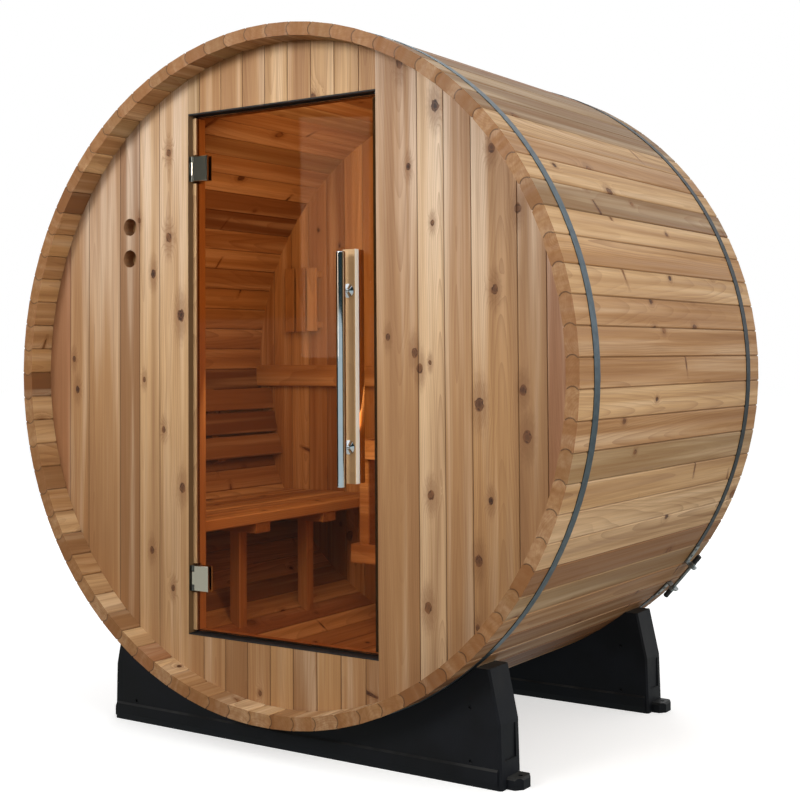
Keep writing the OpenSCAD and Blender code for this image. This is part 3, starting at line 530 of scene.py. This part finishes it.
def beside_doorway(wood, spot, facing):
    """The upright boards of both widths, numbered from the doorway outwards."""
    out = wood.size(spot[X])
    number, edge, width, joint = 0.0, BESIDE_START, WIDE, BESIDE_START
    for board, following in zip(BESIDE_DOOR, BESIDE_DOOR[1:]):
        joint += board
        past = wood.above(out, joint)
        number = wood.plus(past, number)
        edge = wood.times_plus(past, board, edge)
        width = wood.times_plus(past, following - board, width)
    half = wood.times(width, 0.5)
    across = wood.less(wood.less(out, edge), half)
    deep = wood.less(WALL_FACE, wood.size(spot[Y]))
    joint = wood.less(half, wood.size(across))
    return across, spot[Z], deep, number, joint, wood.size(facing[Z])


def evenly_laid(shift, first):
    """Upright boards of one width, the middle one shifted sideways, numbered from the left."""
    def lay(wood, spot, facing):
        place = wood.over(wood.less(spot[X], shift), NARROW)
        number = wood.whole(wood.plus(place, 0.5))
        across = wood.times(wood.less(place, number), NARROW)
        deep = wood.less(WALL_FACE, wood.size(spot[Y]))
        joint = wood.less(NARROW / 2, wood.size(across))
        number = wood.less(number, float(first))
        return across, spot[Z], deep, number, joint, wood.size(facing[Z])
    return lay


WALLS = {
    "front_wall_left": (beside_doorway, "straw straw brown tan tan rose"),
    "front_wall_right": (beside_doorway, "tan cream tan honey tan rose"),
    "front_wall_over_door": (evenly_laid(-0.0125, -4), "olive tan tan tan straw tan straw straw tan"),
    "front_wall_under_door": (evenly_laid(0.0, -4), "tan tan brown tan honey brown honey tan brown"),
    "rear_wall_left": (evenly_laid(0.0, -11), "tan honey straw tan brown straw honey"),
    "rear_wall_middle": (evenly_laid(0.0, -4), "honey tan straw honey rose tan straw brown tan"),
    "rear_wall_right": (evenly_laid(0.0, 5), "straw tan honey brown tan straw tan")}

# the front's knots: to the side, up, radius
KNOTS = {
    "front_wall_left": [
        (-0.40, 1.62, 0.007), (-0.40, 1.38, 0.009), (-0.355, 1.16, 0.011), (-0.42, 0.84, 0.006),
        (-0.35, 0.68, 0.009), (-0.385, 0.40, 0.006), (-0.46, 1.28, 0.008), (-0.495, 0.98, 0.005),
        (-0.465, 0.50, 0.007), (-0.515, 1.435, 0.005), (-0.765, 0.95, 0.007), (-0.78, 1.04, 0.006)],
    "front_wall_right": [
        (0.385, 1.78, 0.009), (0.41, 1.515, 0.006), (0.345, 1.09, 0.006), (0.425, 1.05, 0.008),
        (0.44, 1.01, 0.008), (0.47, 1.025, 0.004), (0.49, 1.66, 0.010), (0.48, 1.37, 0.005),
        (0.47, 0.70, 0.008), (0.46, 0.425, 0.009), (0.65, 1.54, 0.008), (0.655, 1.20, 0.008),
        (0.61, 0.925, 0.011), (0.64, 0.695, 0.006), (0.605, 0.55, 0.009), (0.60, 0.39, 0.005),
        (0.72, 1.39, 0.008), (0.73, 0.96, 0.008), (0.74, 0.85, 0.010), (0.845, 0.81, 0.008)]}

# the front walls, but for the part over the door, get a painted sheen above and painted shade below
for i, (name, (lay, boards)) in enumerate(WALLS.items()):
    front = name.startswith("front")
    dress(cedar(name, lay, boards, seed=100.0 + 20 * i, knots=0.0 if name in KNOTS else 0.4,
                placed=KNOTS.get(name, ()), pale=0.6, ringed=0.6,
                painted_sheen_and_shade=front and name != "front_wall_over_door", edges=JAMB if front else None), name)


# ---- Steel bands ------------------------------------------------------------
# Two flat bands of galvanised steel strip hold the staves. Riveted angle brackets on the
# ends of each are drawn together by a threaded rod with nuts under black plastic caps.
CLOUD_SHADE = 0.7


def metal(name, chip, rough, mottle=0.1, metallic=1.0, scale=60.0):
    """Metal, or plastic where metallic is 0, with darker clouds as strong as mottle says."""
    made, coat = start(name)
    cloud = coat.noise(coat.where(), scale, detail=3.0)
    clouded = coat.between(cloud, 0.3, 0.7, 0.0, mottle * 3)
    coat.surface(coat.add("ShaderNodeBsdfPrincipled", {
        "Base Color": coat.blend(clouded, tone(*chip), tone(*[c * CLOUD_SHADE for c in chip])),
        "Metallic": metallic,
        "Roughness": coat.between(cloud, 0.3, 0.7, rough, rough + mottle * 0.5)}))
    return made


zinc = metal("zinc", (156, 162, 162), 0.33, 0.15)
dress(metal("band_steel", (88, 102, 110), 0.34, 0.12), "band_front")
# the rear band is the same steel as the front one, painted darker: painted shade
dress(metal("shaded_band_steel", (52, 60, 64), 0.42, 0.12), "band_rear")
dress(zinc, "tensioner_front", "tensioner_rear")
dress(metal("cap_plastic", (20, 20, 22), 0.42, metallic=0.0), "tensioner_caps")


# ---- Rod threads ------------------------------------------------------------
# The tensioners' rods are zinc-plated steel with a rolled thread all along, for the nuts that
# draw a band tight. It shows between the brackets, low on the left in front and on the right behind.
ROD_R, PITCH, OPEN_SPAN = 0.0045, 0.0016, 0.0830
TURNS, STEPS_A_TURN = int(OPEN_SPAN / PITCH), 20
ROD_FROM_AXIS, TENSIONER_ANGLE = 0.93477, math.radians(41)
RODS = (("rod_thread_front", -1, math.pi + TENSIONER_ANGLE),
        ("rod_thread_rear", 1, -TENSIONER_ANGLE))


def edit(select="SELECT"):
    """Opens the newest piece for editing, with all or none of it selected."""
    bpy.ops.object.mode_set(mode="EDIT")
    bpy.ops.mesh.select_all(action=select)


def keep(name, finish, body):
    """Closes a new piece, and gives it its name, finish and body."""
    bpy.ops.object.transform_apply(location=True, rotation=True, scale=True)
    piece = bpy.context.object
    piece.name = piece.data.name = name
    piece.data.materials.clear()
    piece.data.materials.append(finish)
    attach(piece, body)
    bpy.ops.object.select_all(action="DESELECT")


for name, side, turn in RODS:
    # one ridge of the thread, stood up beside the rod's axis
    bpy.ops.mesh.primitive_circle_add(vertices=3, radius=PITCH / 2)
    edit()
    bpy.ops.transform.rotate(value=math.pi / 2, orient_axis="X", center_override=(0, 0, 0))
    bpy.ops.transform.rotate(value=math.pi / 2, orient_axis="Y", center_override=(0, 0, 0))
    bpy.ops.transform.translate(value=(ROD_R, 0, -TURNS * PITCH / 2))
    bpy.ops.object.mode_set(mode="OBJECT")
    # wound round the rod, and closed at both ends
    thread = bpy.context.object
    winding = thread.modifiers.new("winding", "SCREW")
    winding.axis, winding.angle, winding.screw_offset = "Z", math.tau, PITCH
    winding.iterations = TURNS
    winding.steps = winding.render_steps = STEPS_A_TURN
    bpy.ops.object.modifier_apply(modifier="winding")
    edit("DESELECT")
    bpy.ops.mesh.select_non_manifold()
    bpy.ops.mesh.fill_holes(sides=4)
    bpy.ops.mesh.select_all(action="SELECT")
    bpy.ops.mesh.normals_make_consistent(inside=False)
    bpy.ops.object.mode_set(mode="OBJECT")
    # the radius from the barrel's axis points outwards and down, and the rod lies square to it
    thread.rotation_euler = (0, math.pi - turn if side < 0 else -turn, 0)
    thread.location = (ROD_FROM_AXIS * math.cos(turn), side * BAND_Y,
                       AXIS_H + ROD_FROM_AXIS * math.sin(turn))
    keep(name, zinc, "cabin")


# ---- Benches and inside fittings --------------------------------------------
# Slatted benches on bearers and legs, curved back rests on battens, a brace across the rear
# wall, a slatted lamp cover, a guard rail and a vent cover, all of planed and screwed cedar.
NO_JOINT = 1.0  # these boards lie apart, so no grime gathers between them


def planks(grain, rows, width, begin):
    """Boards whose grain runs along one axis, and that follow each other along another one."""
    def lay(wood, spot, facing):
        thickness = X + Y + Z - grain - rows
        place = wood.over(wood.less(spot[rows], begin), width)
        number = wood.whole(place)
        across = wood.times(wood.less(wood.less(place, number), 0.5), width)
        deep = wood.size(spot[thickness])
        return across, spot[grain], deep, wood.wrap(number, 5.0), NO_JOINT, wood.size(facing[grain])
    return lay


BRIGHT, SHADED = "honey tan straw tan honey", "brown umber brown rose umber"
# the way the grain runs, the way the boards follow each other, their width, where the first begins
JOINERY = {
    "bench_left_boards": (Y, X, 0.083, -0.7485), "bench_right_boards": (Y, X, 0.083, -0.0715),
    "bench_left_bearers": (X, Y, 0.3, 0.0), "bench_right_bearers": (X, Y, 0.3, 0.0),
    "bench_left_legs": (Z, Y, 0.3, 0.0), "bench_right_legs": (Z, Y, 0.3, 0.0),
    "back_rest_left": (Y, Z, 0.08, 0.697), "back_rest_right": (Y, Z, 0.08, 0.697),
    "back_rest_battens": (Z, Y, 0.3, 0.0), "vent_cover": (Z, X, 0.2, -0.65),
    "rear_brace": (X, Z, 0.2, 0.87), "lamp_cover": (Z, X, 0.048, -0.742),
    "guard_rail": (X, Z, 0.3, 0.0)}
for i, (name, boards_lie) in enumerate(JOINERY.items()):
    boards = SHADED if name.startswith("back_rest") else BRIGHT
    dress(cedar(name, planks(*boards_lie), boards, seed=300.0 + 10 * i, knots=0.15), name)


# ---- Doorway ----------------------------------------------------------------
# Cedar stop boards screwed on behind the wall, with a lip that the glass closes against, and
# black rubber angle strips along the head and the sill.
dress(cedar("door_stop", planks(Z, X, 0.3, -0.45), "straw tan straw tan straw", seed=450.0, knots=0.1),
      "door_stop")
rubber = metal("seal_rubber", (14, 14, 15), 0.6, metallic=0.0)
dress(rubber, "door_seals")


# ---- Glass door -------------------------------------------------------------
# One pane of 8 mm toughened bronze glass with ground edges, bored for the handle. It mirrors
# little of what stands square to it and most of what it is seen along.
EDGE_TINT, FACE_TINT = (0.34, 0.22, 0.14, 1), (0.95, 0.735, 0.52, 1)
HEAD_ON = 0.0075  # the share that each face mirrors, seen square on
POLISH = 0.02


def bronze_glass():
    made, pane = start("bronze_glass")
    face = pane.between(pane.size(pane.facing()[Y]), 0.2, 0.8)
    clear = pane.add("ShaderNodeBsdfTransparent", {"Color": pane.blend(face, EDGE_TINT, FACE_TINT)})
    shine = pane.add("ShaderNodeBsdfGlossy", {"Color": WHITE, "Roughness": POLISH})
    slant = pane.add("ShaderNodeLayerWeight", {"Blend": 0.5}).outputs["Facing"]
    share = pane.times_plus(pane.power(slant, 5.0), 1 - HEAD_ON, HEAD_ON)
    pane.surface(pane.add("ShaderNodeMixShader", {
        "Fac": share, 1: clear.outputs[0], 2: shine.outputs[0]}))
    return made


dress(bronze_glass(), "door_glass")

# a rubber strip of D section, stuck to the glass along its free edge, meets the stop board
STRIP_X, STRIP_Y, STRIP_W, STRIP_T, STRIP_H = 0.2915, -0.4804, 0.016, 0.0052, 1.416
ROUNDING, SHARP = 0.7, math.radians(35)  # a share of the thickness, and the least angle of a sharp edge
bpy.ops.mesh.primitive_cube_add(size=1, location=(STRIP_X, STRIP_Y, AXIS_H),
                                scale=(STRIP_W, STRIP_T, STRIP_H))
bpy.ops.object.transform_apply(location=True, rotation=True, scale=True)
edit("DESELECT")
strip = bmesh.from_edit_mesh(bpy.context.object.data)
for edge in strip.edges:
    upright = abs(edge.verts[0].co.z - edge.verts[1].co.z) > STRIP_W
    edge.select_set(upright and edge.verts[0].co.y > STRIP_Y)
bmesh.update_edit_mesh(bpy.context.object.data)
bpy.ops.mesh.bevel(offset=STRIP_T * ROUNDING, segments=4)
bpy.ops.object.mode_set(mode="OBJECT")
bpy.ops.object.shade_smooth_by_angle(angle=SHARP)
keep("latch_strip", rubber, "door")


# ---- Hinges -----------------------------------------------------------------
# Two glass-to-frame hinges of satin steel: a leaf in the jamb, a pin, and plates that grip
# the glass from both sides.
satin = metal("satin_steel", (213, 205, 188), 0.14, 0.04, scale=300.0)
dress(satin, "hinge_clamps")
dress(metal("hinge_steel", (108, 108, 102), 0.38), "hinge_leaves", "hinge_pins")

# two button-head screws hold each plate from inside
SCREW_X, PLATE_BACK_Y, HINGE_RISE, SCREW_PITCH = -0.2873, -0.4790, 0.5685, 0.036
HEAD_R, HEAD_T, SOCKET_R = 0.0042, 0.0020, 0.0014
SOCKET_LIFT, SEATED = 0.65 * HEAD_T, 0.45 * HEAD_T
bpy.ops.mesh.primitive_cylinder_add(vertices=6, radius=SOCKET_R, depth=HEAD_T,
                                    location=(0, 0, SOCKET_LIFT))
socket = bpy.context.object
bpy.ops.mesh.primitive_cylinder_add(vertices=32, radius=HEAD_R, depth=HEAD_T)
head = bpy.context.object
edit("DESELECT")
button = bmesh.from_edit_mesh(head.data)
for edge in button.edges:
    edge.select_set(all(v.co.z > 0 for v in edge.verts))
bmesh.update_edit_mesh(head.data)
bpy.ops.mesh.bevel(offset=HEAD_T * ROUNDING, segments=4)
bpy.ops.object.mode_set(mode="OBJECT")
drive = head.modifiers.new("drive", "BOOLEAN")
drive.object, drive.operation, drive.solver = socket, "DIFFERENCE", "EXACT"
bpy.ops.object.modifier_apply(modifier="drive")
bpy.data.objects.remove(socket)
bpy.ops.object.shade_smooth_by_angle(angle=SHARP)
for number, (rise, step) in enumerate(((-1, -1), (-1, 1), (1, -1), (1, 1)), 1):
    bpy.ops.object.select_all(action="DESELECT")
    screw = head.copy()
    screw.data = head.data.copy()
    bpy.context.scene.collection.objects.link(screw)
    screw.select_set(True)
    bpy.context.view_layer.objects.active = screw
    screw.rotation_euler = (-math.pi / 2, 0, 0)
    screw.location = (SCREW_X, PLATE_BACK_Y + SEATED,
                      AXIS_H + rise * HINGE_RISE + step * SCREW_PITCH / 2)
    keep(f"plate_screw_{number}", satin, "door")
bpy.data.objects.remove(head)


# ---- Handle -----------------------------------------------------------------
# A polished stainless steel bar on two posts that are bolted through the glass. A planed cedar
# bar is held behind it, and another one inside is the pull.
# the backing's sideways faces are painted near-white: a painted highlight
PAINTED_HIGHLIGHT_EDGE = (255, 250, 238)
dress(metal("polished_steel", (226, 229, 231), 0.05, 0.02), "handle_bar", "handle_posts")
for name, edges in ("handle_backing", PAINTED_HIGHLIGHT_EDGE), ("inside_pull", None):
    dress(cedar(name + "_wood", planks(Z, X, 0.2, 0.12), "straw straw straw straw straw", seed=480.0,
                knots=0.0, streaks=0.15, ring_depth=0.2, edges=edges), name)
